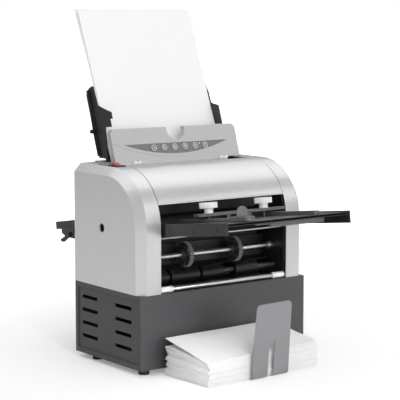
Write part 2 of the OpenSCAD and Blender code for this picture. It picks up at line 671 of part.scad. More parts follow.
// clamp bar over the sheets, with the two screws through its holes, on three feet
module stop_bar() place() color([0.46, 0.46, 0.47]) fplate() union() {
  difference() {
    translate([0, kn_u, bar_z]) linear_extrude(bar_t)
      polygon([[bar_x0 + 3, -9], [bar_x1 - 3, -9], [bar_x1, -6], [bar_x1, 6],
        [bar_x1 - 3, 9], [bar_x0 + 3, 9], [bar_x0, 6], [bar_x0, -6]]);
    for (x = [-knob_x, knob_x]) translate([x, kn_u, bar_z - 1]) cylinder(r = 2.05, h = 9);
  }
  for (x = [-20, 0, 20]) box([x - 3, kn_u - 6, top_z + 0.3], [x + 3, kn_u + 6, bar_z]);
}
// foot is how far the knob's screw reaches below its neck
module knob(x, u, z, foot) translate([x, u, z]) union() {
  difference() {
    union() {
      cylinder(d = knob_neck_d, h = knob_neck_h);
      translate([0, 0, knob_neck_h]) linear_extrude(knob_h)
        gear2d(36, 0, [0, 0], knob_d/37.6);
    }
    translate([0, 0, knob_neck_h + knob_h - 1.2]) cylinder(d = knob_d*0.62, h = 2);
  }
  translate([0, 0, -foot]) cylinder(r = 2, h = foot + 1);
}
module knob_front_left() place() color([0.95, 0.95, 0.93]) fplate()
  knob(-knob_x, kn_u, bar_z + bar_t + 0.1, 20);
module knob_front_right() place() color([0.95, 0.95, 0.93]) fplate()
  knob(knob_x, kn_u, bar_z + bar_t + 0.1, 20);
module fine_slider() place() color([0.3, 0.3, 0.31]) fplate() difference() {
  union() {
    box([-rail_x - 8, slide_u - 18, top_z + 0.3], [-rail_x + 8, slide_u + 21, top_z + 7]);
    translate([-rail_x, slide_u + 1, top_z + 7]) rotate([90, 0, 0]) linear_extrude(3) union() {
      translate([0, 4.5]) intersection() { circle(r = 10); translate([-12, 0]) square([24, 12]); }
      translate([-10, 0]) square([20, 4.6]);
    }
  }
  box([-rail_x - 5.4, slide_u - 30, top_z - 1], [-rail_x + 5.4, slide_u + 40, top_z + 5]);
}

// ---------- rear fold plate ----------
rtop_z = rp_z + 2*fp_t + fp_gap;
rk_u = 92;
module rear_plate() place() color([0.07, 0.07, 0.075]) rplate() union() {
  plate_pair(fp_w - 2, 0, rear_reach, rp_z, knob_slots(rk_u, 16, 54));
  sym() box([-fp_w/2, 0, 0], [-fp_w/2 + 1.4, rear_reach + 1.5, rp_flange]);
  sym() box([-fp_w/2 + 1, 4, rp_z], [-fp_w/2 + 5, rear_reach - 4, rtop_z]);
  box([-fp_w/2, rear_reach + 0.3, 0], [fp_w/2, rear_reach + 1.5, rp_flange]);
  box([-fp_w/2, rear_reach - 2, rp_z], [fp_w/2, rear_reach + 1, rp_z + fp_t]);
  difference() {
    xprism(-fp_w/2 - 2.4, -fp_w/2 + eps)
      polygon([[117, 3], [153.5, 3], [154, -5.6], [147, -9.5], [137, -14], [128, -13.8], [117, -15.5]]);
    xcyl(2.5, -fp_w/2 - 10, -fp_w/2 + 5, latch_c);
  }
}
module latch_lever() place() color([0.12, 0.12, 0.125]) rplate() union() {
  xprism(-fp_w/2 - 5, -fp_w/2 - 2.7)
    polygon([[125.2, -7], [127, -4.8], [131, -4.6], [143, -11.9], [154.2, -15.4], [153.4, -18.8],
      [150, -20.2], [144, -19.9], [136, -15.9], [129, -12.7], [125.4, -10.6]]);
  xcyl(2.5 - run_c, -fp_w/2 - 6.2, -fp_w/2 - 0.3, latch_c);
}
module rear_stop_bar() place() color([0.46, 0.46, 0.47]) rplate() difference() {
  union() {
    box([-bar_l/2, rk_u - 11, rtop_z + 4], [bar_l/2, rk_u + 11, rtop_z + 4 + bar_t]);
    for (x = [-20, 20]) box([x - 3, rk_u - 6, rtop_z + 0.3], [x + 3, rk_u + 6, rtop_z + 5]);
  }
  for (x = [-knob_x, knob_x]) translate([x, rk_u, 0]) cylinder(r = 2.05, h = 30);
}
module knob_rear_left() place() color([0.95, 0.95, 0.93]) rplate()
  knob(-knob_x, rk_u, rtop_z + 4.1 + bar_t, 19);
module knob_rear_right() place() color([0.95, 0.95, 0.93]) rplate()
  knob(knob_x, rk_u, rtop_z + 4.1 + bar_t, 19);

// ---------- power and control ----------
module control_board() union() {
  box([-140, -45, 125], [-138.4, 55, 185]);
  for (p = [[-30, 132], [0, 150], [25, 136]]) box([-138.4, p[0], p[1]], [-128, p[0] + 16, p[1] + 20]);
  for (p = [[-40, 180], [50, 180], [-40, 129], [50, 129]]) xcyl(1.6, -138.4, -ht, p);
}
module power_inlet() place() color([0.05, 0.05, 0.05]) difference() {
  union() {
    box([-101, hd - 24, 126], [-73, hd, 146]);
    box([-104, hd, 122], [-70, hd + 1.6, 150]);
  }
  box([-98.5, hd - 15, 129], [-75.5, hd + 3, 143]);
}

// ---------- paper ----------
module loaded_sheets() place() color([0.96, 0.96, 0.96]) hopper()
  box([-paper_w/2, -paper_t/2, -paper_end], [paper_w/2, paper_t/2, paper_l - paper_end]);
module desk() translate([stack_c[0], stack_c[1], 0]) rotate([0, 0, stack_a]) children();
module folded_stack() place() color([0.95, 0.95, 0.95]) desk()
  xprism(-fold_l/2, fold_l/2) translate([-fold_d/2, 0])
    polygon([[stop_bend, 1.4], [fold_d, 1.4], [fold_d, fold_h], [0, fold_h - fold_drop],
      [0, stop_bend + 1.4]]);
// section of the bent plate in (y, z), with the bend's centre over y = 0
function bend_at(r, a) = [r*cos(a), stop_bend + r*sin(a)];
module stop_section() {
  a0 = 180 + stop_lean;
  step = (270 - a0)/10;
  up = (stop_h - stop_bend)*[-sin(stop_lean), cos(stop_lean)];
  polygon(concat([[60, 0]], [for (i = [0:10]) bend_at(stop_bend, 270 - i*step)],
    [bend_at(stop_bend, a0) + up, bend_at(stop_bend - stop_t, a0) + up],
    [for (i = [0:10]) bend_at(stop_bend - stop_t, a0 + i*step)], [[60, stop_t]]));
}
// outline in (x, z): narrower at the top, with round corners
module stop_outline(top_w, corner) polygon(concat([[-stop_w/2, -1], [stop_w/2, -1]],
  [for (a = [0:15:90]) [top_w/2 - corner + corner*cos(a), stop_h - 1 - corner + corner*sin(a)]],
  [for (a = [90:15:180]) [corner - top_w/2 + corner*cos(a), stop_h - 1 - corner + corner*sin(a)]]));
module stack_stop() place() color([0.6, 0.6, 0.61]) desk()
  translate([stop_x, stop_bend - stop_t - 0.4 - fold_d/2, 0]) difference() {
    intersection() {
      xprism(-stop_w/2, stop_w/2) stop_section();
      slab(-40, 70) stop_outline(stop_w - 4, 7);
    }
    // slot open down to the bend
    box([-5, -40, -1], [5.5, 0, 55]);
  }

stand_frame();
vent_panels();
rubber_feet();
side_cover_left();
side_cover_right();
rear_panel();
chassis_left();
chassis_right();
cross_rods();
lip_rod();
inner_guides();
feed_tray();
panel_shell();
panel_lens();
boards();
switch_bezel();
motor();
power_inlet();
separator_pad();
top_cover();
guide_left();
guide_right();
guide_pinion();
key_1();
key_2();
key_3();
key_4();
key_5();
key_6();
rocker();
feed_shaft();
feed_sleeves();
fold_roller_top();
fold_roller_front();
fold_roller_rear();
fold_roller_low();
feed_idler();
delivery_idler();
motor_idler();
motor_pinion();
delivery_shaft();
delivery_wheels();
exit_shaft();
exit_segments();
front_plate();
plate_screws();
plate_rails();
stop_bar();
knob_front_left();
knob_front_right();
fine_slider();
rear_plate();
rear_stop_bar();
knob_rear_left();
knob_rear_right();
latch_lever();
loaded_sheets();
folded_stack();
stack_stop();
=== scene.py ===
import json
import math
import random

import bmesh
import bpy
from mathutils import Matrix, Vector


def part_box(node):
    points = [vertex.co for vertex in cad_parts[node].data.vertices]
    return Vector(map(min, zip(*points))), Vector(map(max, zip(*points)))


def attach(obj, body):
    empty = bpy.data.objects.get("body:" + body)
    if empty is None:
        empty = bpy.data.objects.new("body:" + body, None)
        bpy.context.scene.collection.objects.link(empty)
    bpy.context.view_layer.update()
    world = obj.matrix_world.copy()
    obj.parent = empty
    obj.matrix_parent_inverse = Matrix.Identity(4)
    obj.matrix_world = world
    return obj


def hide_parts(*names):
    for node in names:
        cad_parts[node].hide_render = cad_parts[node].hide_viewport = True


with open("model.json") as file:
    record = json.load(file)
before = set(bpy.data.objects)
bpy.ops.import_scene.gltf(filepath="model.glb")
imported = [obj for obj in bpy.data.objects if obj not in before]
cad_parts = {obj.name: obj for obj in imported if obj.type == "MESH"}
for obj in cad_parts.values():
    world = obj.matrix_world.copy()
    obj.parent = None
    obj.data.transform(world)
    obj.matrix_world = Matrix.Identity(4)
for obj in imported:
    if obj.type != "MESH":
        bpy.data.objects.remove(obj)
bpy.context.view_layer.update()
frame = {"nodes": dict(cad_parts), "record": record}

MM = 0.001
slot_of = {s["node"]: s["material_slot"] for s in frame["record"]["subparts"]}
body_of = {node: body for body, nodes in frame["record"]["behaviour"]["bodies"].items()
           for node in nodes}
low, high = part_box("side_cover_left")
Y_MID = (low[1] + high[1]) / 2 / MM         # middle of the machine's body, in mm


# ---------- places: the machine's own sloped frames, in mm ----------
def frame_at(y, z, lean):
    """A place on the middle line, y from the body's middle, that leans back by so many degrees."""
    spot = Vector((0, y + Y_MID, z)) * MM
    return Matrix.Translation(spot) @ Matrix.Rotation(math.radians(-lean), 4, 'X')


BODY = frame_at(0, 0, 0)
HOPPER = frame_at(56.9, 297, 23)
PANEL = frame_at(27, 297, 19)
FRONT = frame_at(-79, 199.7, 6.85)
REAR = frame_at(36, 199, 6.85)
DESK = (Matrix.Translation(Vector((-12, -146 + Y_MID, 0)) * MM)
        @ Matrix.Rotation(math.radians(2.8), 4, 'Z'))


# ---------- modelling by hand ----------
def clear():
    if bpy.context.object and bpy.context.object.mode != 'OBJECT':
        bpy.ops.object.mode_set(mode='OBJECT')
    bpy.ops.object.select_all(action='DESELECT')


def only(ob):
    clear()
    ob.select_set(True)
    bpy.context.view_layer.objects.active = ob


def block(low, high):
    """A cuboid between two corners, in mm."""
    clear()
    a, b = Vector(low) * MM, Vector(high) * MM
    bpy.ops.mesh.primitive_cube_add(size=1, location=(a + b) / 2)
    ob = bpy.context.object
    ob.scale = b - a
    bpy.ops.object.transform_apply(location=True, rotation=True, scale=True)
    return ob


def rod(p, q, r, sides=48):
    """A round bar from p to q, in mm."""
    clear()
    a, b = Vector(p) * MM, Vector(q) * MM
    bpy.ops.mesh.primitive_cylinder_add(vertices=sides, radius=r * MM, depth=(b - a).length)
    ob = bpy.context.object
    turn = Vector((0, 0, 1)).rotation_difference(b - a)
    ob.matrix_world = Matrix.Translation((a + b) / 2) @ turn.to_matrix().to_4x4()
    bpy.ops.object.transform_apply(location=True, rotation=True, scale=True)
    return ob


def pick_faces(ob, wanted):
    """Goes into edit mode with only the faces that wanted(centre in mm, normal) accepts."""
    only(ob)
    bpy.ops.object.mode_set(mode='EDIT')
    bpy.ops.mesh.select_mode(type='FACE')
    bpy.ops.mesh.select_all(action='DESELECT')
    bm = bmesh.from_edit_mesh(ob.data)
    for f in bm.faces:
        f.select_set(bool(wanted(f.calc_center_median() / MM, f.normal)))
    bm.select_flush_mode()
    bmesh.update_edit_mesh(ob.data)


def done():
    bpy.ops.object.mode_set(mode='OBJECT')


def apply(ob, kind, **values):
    only(ob)
    mod = ob.modifiers.new("shape", kind)
    for key, value in values.items():
        setattr(mod, key, value)
    bpy.ops.object.modifier_apply(modifier=mod.name)
    return ob


def round_edges(ob, width, segments=2, angle=30):
    return apply(ob, 'BEVEL', width=width * MM, segments=segments, limit_method='ANGLE',
                 angle_limit=math.radians(angle), harden_normals=False)


def cut(ob, tool):
    apply(ob, 'BOOLEAN', operation='DIFFERENCE', object=tool, solver='EXACT')
    bpy.data.objects.remove(tool)
    return ob


def join(*obs):
    only(obs[0])
    for ob in obs:
        ob.select_set(True)
    if len(obs) > 1:
        bpy.ops.object.join()
    return obs[0]


def smooth(ob, angle=32):
    only(ob)
    bpy.ops.object.shade_smooth_by_angle(angle=math.radians(angle))


def copy_at(ob, matrix):
    """A copy with its own mesh, moved by matrix."""
    twin = ob.copy()
    twin.data = ob.data.copy()
    bpy.context.collection.objects.link(twin)
    twin.data.transform(matrix)
    return twin


def shift(x, y, z):
    return Matrix.Translation(Vector((x, y, z)) * MM)


def settle(ob, place, name, body, slot, material=None, stands_for=(), angle=32):
    """Puts a finished shape in its place and on its body."""
    only(ob)
    ob.data.transform(place)
    ob.name = ob.data.name = name
    if angle:
        smooth(ob, angle)
    ob.data.materials.clear()
    ob.data.materials.append(material or finish[slot])
    if stands_for:
        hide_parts(*stands_for)
    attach(ob, body)
    return ob


def refined(node, width, segments=2, angle=30, merge_faces=True):
    """A copy of a CAD node with its loose faces joined and its hard edges rounded."""
    src = frame["nodes"][node]
    ob = bpy.data.objects.new(node + "_soft", src.data.copy())
    bpy.context.collection.objects.link(ob)
    ob.matrix_world = src.matrix_world
    only(ob)
    bpy.ops.object.transform_apply(location=True, rotation=True, scale=True)
    bpy.ops.object.mode_set(mode='EDIT')
    bpy.ops.mesh.select_all(action='SELECT')
    bpy.ops.mesh.remove_doubles(threshold=2e-6)
    if merge_faces:
        bpy.ops.mesh.dissolve_limited(angle_limit=math.radians(0.3))
    done()
    if ob.data.has_custom_normals:
        bpy.ops.mesh.customdata_custom_splitnormals_clear()
    smooth(ob, angle)
    apply(ob, 'BEVEL', width=width * MM, segments=segments, limit_method='ANGLE',
          angle_limit=math.radians(angle), harden_normals=True, miter_outer='MITER_ARC')
    return settle(ob, Matrix.Identity(4), node + "_soft", body_of[node], slot_of[node],
                  special.get(node), stands_for=[node], angle=None)


def repaint(ob, material, wanted):
    """Gives a second finish to the faces whose centre, in metres, wanted accepts."""
    ob.data.materials.append(material)
    for face in ob.data.polygons:
        if wanted(face.center):
            face.material_index = 1


# ---------- shader groups: effects that several finishes share ----------
def new_group(name, inputs, outputs):
    """An empty group, with what is given to it and what it gives back."""
    tree = bpy.data.node_groups.new(name, 'ShaderNodeTree')
    for label, kind, value in inputs:
        socket = tree.interface.new_socket(name=label, in_out='INPUT',
                                           socket_type='NodeSocket' + kind)
        socket.default_value = value
    for label, kind in outputs:
        tree.interface.new_socket(name=label, in_out='OUTPUT', socket_type='NodeSocket' + kind)
    given, result = tree.nodes.new('NodeGroupInput'), tree.nodes.new('NodeGroupOutput')
    return tree, given.outputs, result.inputs


def maths(tree, operation, *terms):
    """One operation on two terms, each a number or an output."""
    node = tree.nodes.new('ShaderNodeMath')
    node.operation = operation
    for term, socket in zip(terms, node.inputs):
        if isinstance(term, float):
            socket.default_value = term
        else:
            tree.links.new(term, socket)
    return node.outputs[0]


def noise(tree, vector, scale, detail, rough):
    node = tree.nodes.new('ShaderNodeTexNoise')
    tree.links.new(vector, node.inputs['Vector'])
    tree.links.new(scale, node.inputs['Scale'])
    node.inputs['Detail'].default_value = detail
    node.inputs['Roughness'].default_value = rough
    return node.outputs['Fac']


def swing(tree, mask, amount):
    """A mask around zero, stretched to reach the amount either way."""
    return maths(tree, 'MULTIPLY', mask, maths(tree, 'MULTIPLY', amount, 2.0))


def shaded(tree, color, mask, amount):
    """The colour, made lighter and darker by a mask around zero."""
    node = tree.nodes.new('ShaderNodeVectorMath')
    node.operation = 'SCALE'
    tree.links.new(color, node.inputs[0])
    tree.links.new(maths(tree, 'ADD', 1.0, swing(tree, mask, amount)), node.inputs['Scale'])
    return node.outputs[0]


def make_variation():
    """Slow change of colour and gloss over a surface, as handling and dust leave it."""
    tree, given, result = new_group(
        "surface_variation",
        [("Vector", "Vector", (0, 0, 0)), ("Color", "Color", (0.5, 0.5, 0.5, 1)),
         ("Scale", "Float", 12.0), ("Amount", "Float", 0.05),
         ("Roughness", "Float", 0.5), ("Spread", "Float", 0.08)],
        [("Color", "Color"), ("Roughness", "Float")])
    slow = noise(tree, given["Vector"], given["Scale"], 4.0, 0.55)
    fine = noise(tree, given["Vector"], maths(tree, 'MULTIPLY', given["Scale"], 9.0), 2.0, 0.5)
    both = maths(tree, 'ADD', maths(tree, 'MULTIPLY', slow, 0.7),
                 maths(tree, 'MULTIPLY', fine, 0.3))
    mask = maths(tree, 'SUBTRACT', both, 0.5)
    rough = maths(tree, 'ADD', given["Roughness"], swing(tree, mask, given["Spread"]))
    tree.links.new(shaded(tree, given["Color"], mask, given["Amount"]), result["Color"])
    tree.links.new(rough, result["Roughness"])
    return tree


def make_grain():
    """Height of a fine grain that can be stretched, for moulded, brushed and painted faces."""
    tree, given, result = new_group(
        "fine_grain",
        [("Vector", "Vector", (0, 0, 0)), ("Scale", "Float", 900.0),
         ("Stretch", "Vector", (1, 1, 1))], [("Height", "Float")])
    node = tree.nodes.new('ShaderNodeVectorMath')
    node.operation = 'MULTIPLY'
    tree.links.new(given["Vector"], node.inputs[0])
    tree.links.new(given["Stretch"], node.inputs[1])
    tree.links.new(noise(tree, node.outputs[0], given["Scale"], 2.0, 0.6), result["Height"])
    return tree


def make_flakes():
    """Tiny bright and dark flakes, as in a silver paint."""
    tree, given, result = new_group(
        "paint_flakes",
        [("Vector", "Vector", (0, 0, 0)), ("Color", "Color", (0.7, 0.7, 0.7, 1)),
         ("Scale", "Float", 2600.0), ("Amount", "Float", 0.1)], [("Color", "Color")])
    cells = tree.nodes.new('ShaderNodeTexVoronoi')
    tree.links.new(given["Vector"], cells.inputs['Vector'])
    tree.links.new(given["Scale"], cells.inputs['Scale'])
    channels = tree.nodes.new('ShaderNodeSeparateColor')
    tree.links.new(cells.outputs['Color'], channels.inputs[0])
    mask = maths(tree, 'SUBTRACT', channels.outputs[0], 0.5)
    tree.links.new(shaded(tree, given["Color"], mask, given["Amount"]), result["Color"])
    return tree


VARIATION, GRAIN, FLAKES = make_variation(), make_grain(), make_flakes()


def make_finish(name, color, rough, metal=0.0, amount=0.06, spread=0.08, scale=12.0,
                grain=900.0, stretch=(1, 1, 1), bump=0.15, depth=0.05, flakes=0.0, coat=0.0,
                coat_rough=0.1):
    """A finish with slow variation, grain and, where asked, flakes and a clear coat."""
    material = bpy.data.materials.new(name)
    material.use_nodes = True
    tree = material.node_tree
    shader = tree.nodes["Principled BSDF"]
    place = tree.nodes.new('ShaderNodeTexCoord').outputs['Object']

    def use(group, **values):
        node = tree.nodes.new('ShaderNodeGroup')
        node.node_tree = group
        tree.links.new(place, node.inputs["Vector"])
        for key, value in values.items():
            node.inputs[key].default_value = value
        return node

    varied = use(VARIATION, Color=(*color, 1), Scale=scale, Amount=amount,
                 Roughness=rough, Spread=spread)
    shade = varied.outputs["Color"]
    if flakes:
        flaked = use(FLAKES, Amount=flakes)
        tree.links.new(shade, flaked.inputs["Color"])
        shade = flaked.outputs["Color"]
    relief = tree.nodes.new('ShaderNodeBump')
    relief.inputs['Strength'].default_value = bump
    relief.inputs['Distance'].default_value = depth * MM
    tree.links.new(use(GRAIN, Scale=grain, Stretch=stretch).outputs["Height"],
                   relief.inputs['Height'])
    tree.links.new(shade, shader.inputs['Base Color'])
    tree.links.new(varied.outputs["Roughness"], shader.inputs['Roughness'])
    tree.links.new(relief.outputs[0], shader.inputs['Normal'])
    shader.inputs['Metallic'].default_value = metal
    shader.inputs['Coat Weight'].default_value = coat
    shader.inputs['Coat Roughness'].default_value = coat_rough
    return material


finish = {
    "silver_paint": make_finish("silver_paint", (0.68, 0.68, 0.69), 0.30, metal=0.60, amount=0.02,
                                spread=0.04, flakes=0.10, bump=0.08, grain=1400, coat=0.25,
                                coat_rough=0.12),
    "stand_paint": make_finish("stand_paint", (0.060, 0.060, 0.064), 0.5, amount=0.10,
                               spread=0.10, grain=1100, bump=0.35, depth=0.10),
    "black_steel": make_finish("black_steel", (0.012, 0.012, 0.013), 0.38, amount=0.15,
                               grain=1000, bump=0.2),
    "polished_steel": make_finish("polished_steel", (0.62, 0.62, 0.64), 0.16, metal=1.0,
                                  amount=0.04, stretch=(30, 1, 1), grain=160, bump=0.1),
    "white_plastic": make_finish("white_plastic", (0.90, 0.90, 0.89), 0.38, amount=0.02,
                                 grain=1200, bump=0.1),
    "rubber": make_finish("rubber", (0.018, 0.018, 0.018), 0.75, amount=0.25, grain=800,
                          bump=0.4, depth=0.1),
    "black_plastic": make_finish("black_plastic", (0.012, 0.012, 0.012), 0.42, amount=0.15,
                                 grain=1000, bump=0.25),
    "red_plastic": make_finish("red_plastic", (0.42, 0.012, 0.02), 0.25, amount=0.05,
                               coat=0.3, bump=0.05),
    "lens_grey": make_finish("lens_grey", (0.155, 0.155, 0.16), 0.30, amount=0.06, coat=0.4,
                             bump=0.05),
    "key_grey": make_finish("key_grey", (0.20, 0.20, 0.205), 0.35, amount=0.08, bump=0.1),
    "gear_plastic": make_finish("gear_plastic", (0.70, 0.69, 0.64), 0.45, amount=0.04),
    "circuit_green": make_finish("circuit_green", (0.01, 0.09, 0.03), 0.3, amount=0.2,
                                 scale=60, coat=0.3),
    "grey_alloy": make_finish("grey_alloy", (0.19, 0.19, 0.20), 0.36, metal=0.5, amount=0.06,
                              stretch=(1, 25, 1), grain=200, bump=0.15),
    "plate_steel": make_finish("plate_steel", (0.020, 0.020, 0.021), 0.34, amount=0.12,
                               grain=1000, bump=0.15),
    "motor_steel": make_finish("motor_steel", (0.20, 0.21, 0.22), 0.35, metal=0.9, amount=0.06,
                               stretch=(1, 20, 20), grain=200, bump=0.1),
    "stop_steel": make_finish("stop_steel", (0.36, 0.36, 0.37), 0.32, metal=0.85, amount=0.05,
                              stretch=(40, 1, 1.5), grain=120, bump=0.2),
    "pad": make_finish("pad", (0.14, 0.05, 0.035), 0.85, amount=0.2, scale=60),
    "paper": make_finish("paper", (0.93, 0.93, 0.93), 0.75, amount=0.012, scale=30, grain=1800,
                         bump=0.05, spread=0.03),
}
# whiter than the hopper's paper: painted light on the folded letters
letter_paper_painted_light = make_finish("letter_paper_painted_light", (0.95, 0.95, 0.955), 0.8, amount=0.01, scale=30,
                           grain=1800, bump=0.05, spread=0.03)
dark_steel = make_finish("dark_steel", (0.10, 0.10, 0.11), 0.38, metal=0.7, amount=0.06)
# darker than the rubber finish: painted shade of the dim throat on the exit rollers
roller_rubber_painted_shade = make_finish("roller_rubber_painted_shade", (0.006, 0.006, 0.006), 0.38, amount=0.2, grain=700,
                            bump=0.25, depth=0.08)
# a light grey rim: painted highlight of the wheels' knurled teeth
highlight_rim_rubber = make_finish("highlight_rim_rubber", (0.17, 0.17, 0.17), 0.42, amount=0.3, grain=700,
                         bump=0.4, depth=0.1)
# lighter than the rubber finish: painted light on the wheels, which lie in the throat's shade
wheel_rubber_painted_light = make_finish("wheel_rubber_painted_light", (0.035, 0.035, 0.036), 0.42, amount=0.2, grain=700,
                           bump=0.25, depth=0.08)
satin_steel = make_finish("satin_steel", (0.82, 0.82, 0.83), 0.33, metal=1.0, amount=0.04,
                          stretch=(30, 1, 1), grain=160, bump=0.1)
panel_paint = make_finish("panel_paint", (0.50, 0.50, 0.51), 0.34, metal=0.45, amount=0.02,
                          spread=0.04, flakes=0.10, bump=0.08, grain=1400)
special = {"plate_screws": dark_steel, "exit_segments": roller_rubber_painted_shade, "exit_shaft": dark_steel,
           "delivery_wheels": wheel_rubber_painted_light, "delivery_shaft": satin_steel,
           "panel_shell": panel_paint}
for node, ob in frame["nodes"].items():
    ob.data.materials.clear()
    ob.data.materials.append(special.get(node) or finish[slot_of[node]])

# ---------- edges of the sheet metal and plastics, rounded by so many mm ----------
EDGES = {"side_cover_left": 0.7, "side_cover_right": 0.7, "top_cover": 0.5, "rear_panel": 0.3,
         "panel_shell": 0.5, "stack_stop": 0.3, "front_plate": 0.2, "rear_plate": 0.2,
         "plate_rails": 0.5, "stop_bar": 0.4, "rear_stop_bar": 0.4, "fine_slider": 0.5,
         "guide_left": 0.25, "latch_lever": 0.3, "rocker": 0.4, "switch_bezel": 0.3,
         "power_inlet": 0.3}
refined("stand_frame", 0.45, merge_faces=False)     # its faces have the vents' openings in them
for node, width in EDGES.items():
    refined(node, width)

# ---------- toothed wheels: a lighter rim round a dark disc, painted as the knurled teeth's highlight ---
RIM = 3.2
low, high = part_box("delivery_wheels")
hub_y, hub_z, wheel_r = (low[1] + high[1]) / 2, (low[2] + high[2]) / 2, (high[2] - low[2]) / 2
repaint(refined("delivery_wheels", 0.12, 1), highlight_rim_rubber,
        lambda c: math.hypot(c.y - hub_y, c.z - hub_z) > wheel_r - RIM * MM)

# ---------- tie rods: the hopper's own rod, the highest, is blackened ----------
HOPPER_ROD_Z = 310
repaint(refined("cross_rods", 0.2), finish["black_steel"], lambda c: c.z > HOPPER_ROD_Z * MM)

# ---------- right paper guide ----------
BODY_TOP, GUIDE_X, NEAR_CORNER = 296, 100, 0.9
TIP_HEIGHTS = (93.1, 100.2, 105.7)          # above the body's top, where the tip's edge is bent
# corners of its outline, back from the body's middle and above its top, and where each one goes
GUIDE_MOVES = (((93, 85), (90, 84)), ((96.6, 93.1), (93.9, 93.1)), ((99.8, 100.2), (96.6, 100.2)),
               ((102.3, 105.7), (100.9, 105.7)), ((61, 53), (57.9, 45)), ((72, 53), (70.8, 45)))


def right_guide():
    """The right guide: its tip bows forward, and its step ends lower than the left one's."""
    ob = refined("guide_right", 0.25)
    only(ob)
    bpy.ops.object.mode_set(mode='EDIT')
    for height in TIP_HEIGHTS:
        bpy.ops.mesh.select_all(action='SELECT')
        bpy.ops.mesh.bisect(plane_co=(0, 0, (BODY_TOP + height) * MM), plane_no=(0, 0, 1))
    done()
    for v in ob.data.vertices:
        across, y, z = v.co.x / MM, v.co.y / MM - Y_MID, v.co.z / MM - BODY_TOP
        for (from_y, from_z), (to_y, to_z) in GUIDE_MOVES:
            if across > GUIDE_X and math.hypot(y - from_y, z - from_z) < NEAR_CORNER:
                v.co += Vector((0, to_y - from_y, to_z - from_z)) * MM


right_guide()

# ---------- knobs: white heads on steel screws; the neck is so many mm above the plate ----------
for side in ("left", "right"):
    for end, place, neck in (("front", FRONT, 28.4), ("rear", REAR, 13.8)):
        repaint(refined("knob_%s_%s" % (end, side), 0.35), dark_steel,
                lambda c: (place.inverted() @ c).z < neck * MM)

# ---------- paper in the hopper ----------
SHEET_W, SHEET_L, SHEET_T = 210, 297, 0.2   # A4
SHEET_END = 48.5                            # how far it reaches below the cover's top
CURL_FROM, CURL_OVER = 70, 180              # where it begins to curl, and over what length


def loaded_sheet(index, back, slip_x, slip_up, curl, twist, fan):
    """One sheet of the pile: it stands straight in the guides and curls back above them."""
    clear()
    bpy.ops.mesh.primitive_grid_add(x_subdivisions=18, y_subdivisions=26, size=1)
    ob = bpy.context.object
    ob.data.transform(Matrix.Diagonal((SHEET_W * MM, SHEET_L * MM, 1, 1)))
    ob.data.transform(Matrix.Rotation(math.radians(90), 4, 'X'))
    ob.data.transform(shift(slip_x, back, SHEET_L / 2 - SHEET_END + slip_up))
    for v in ob.data.vertices:
        x, up = v.co.x / MM, max(0.0, v.co.z / MM - CURL_FROM) / CURL_OVER
        v.co.y += MM * (curl * up ** 2.4 + twist * up ** 2 * x / (SHEET_W / 2)
                        + 0.10 * math.sin(x / 37 + index))
        v.co.x += MM * fan * up ** 1.3
    apply(ob, 'SOLIDIFY', thickness=SHEET_T * MM, offset=0)
    return settle(ob, HOPPER, "loaded_sheet_%d" % index, "sheets", "paper",
                  finish["paper"], ["loaded_sheets"] if index == 0 else ())


# each sheet: how far back, slips across and up, curl, twist, fan; in mm, the last three at the top
PILE = ((-1.05, 0.0, 0.0, 1.0, 0.0, 1.2), (-0.7, 0.3, -0.4, 1.0, 0.1, 3.6),
        (-0.35, -0.4, 0.3, 1.1, 0.0, 2.2), (0.0, 0.2, 0.6, 1.1, 0.1, 4.2),
        (0.35, -0.8, 0.2, 1.3, 0.1, 2.9), (0.7, -1.0, 1.4, 1.6, -0.2, 0.6),
        (1.05, -1.0, 2.2, 2.2, -0.6, -0.8))
for index, values in enumerate(PILE):
    loaded_sheet(index, *values)


# ---------- folded letters ----------
FOLD_L, FOLD_D, FOLD_H, LETTERS = 210, 99, 45, 13
FIRST, FOLD_DROP = 1.6, 6.5                 # the lowest letter's height, and the front's sag
PITCH = (FOLD_H - FIRST) / LETTERS
BEND, LETTER_T, STRIPS = PITCH * 0.13, 0.42, 10
MIDDLE_THIRD, TOP_THIRD = PITCH * 0.2, PITCH * 0.4    # where they begin, up from the letter
STRAIGHT_LETTERS = 3                        # so many at the bottom lie straighter
LIFT, TOP_SLIP = 12, (-2.4, 0.6, 0)         # how far the top letter's flap opens, and its slip


def pile_height(x, y, z):
    """Where a point of the straight pile comes to lie, the same for every letter so none cross."""
    share = z / FOLD_H
    front = max(0.0, 0.5 - y / FOLD_D)
    wave = (0.5 * math.sin(x / 41 + 0.6) - 0.5 * math.cos(y / 26 - 0.4)
            + 0.35 * math.sin((x + 2 * y) / 23))
    return z + share * (wave - FOLD_DROP * front ** 1.3 * (1.15 - 0.5 * x / FOLD_L))


def folded_letter():
    """A sheet folded in three: a flat third, a bend, the next third over it, and so on."""
    depth, step = FOLD_D - 3, 0.5           # each third ends a step short of the one below
    clear()
    bpy.ops.mesh.primitive_grid_add(x_subdivisions=21, y_subdivisions=STRIPS, size=1)
    ob = bpy.context.object
    ob.data.transform(Matrix.Diagonal((FOLD_L * MM, depth * MM, 1, 1)))
    ob.data.transform(shift(0, step, 0))
    back = depth / 2 + step
    front = back - (depth - step)
    for level, (at_y, length) in enumerate(((back, depth - step), (front, depth - 2 * step))):
        only(ob)
        bpy.ops.object.mode_set(mode='EDIT')
        bpy.ops.mesh.select_mode(type='EDGE')
        bpy.ops.mesh.select_all(action='DESELECT')
        bm = bmesh.from_edit_mesh(ob.data)
        z = 2 * BEND * level * MM
        for e in bm.edges:
            e.select_set(all(abs(v.co.y - at_y * MM) < 1e-5 and abs(v.co.z - z) < 1e-5
                             for v in e.verts))
        bmesh.update_edit_mesh(ob.data)
        sign = 1 if at_y > 0 else -1
        bpy.ops.mesh.spin(steps=6, angle=math.pi * sign, axis=(1, 0, 0),
                          center=Vector((0, at_y, (2 * level + 1) * BEND)) * MM)
        for _ in range(STRIPS):
            bpy.ops.mesh.extrude_region_move(
                TRANSFORM_OT_translate={"value": (0, -sign * length / STRIPS * MM, 0)})
        done()
    return ob


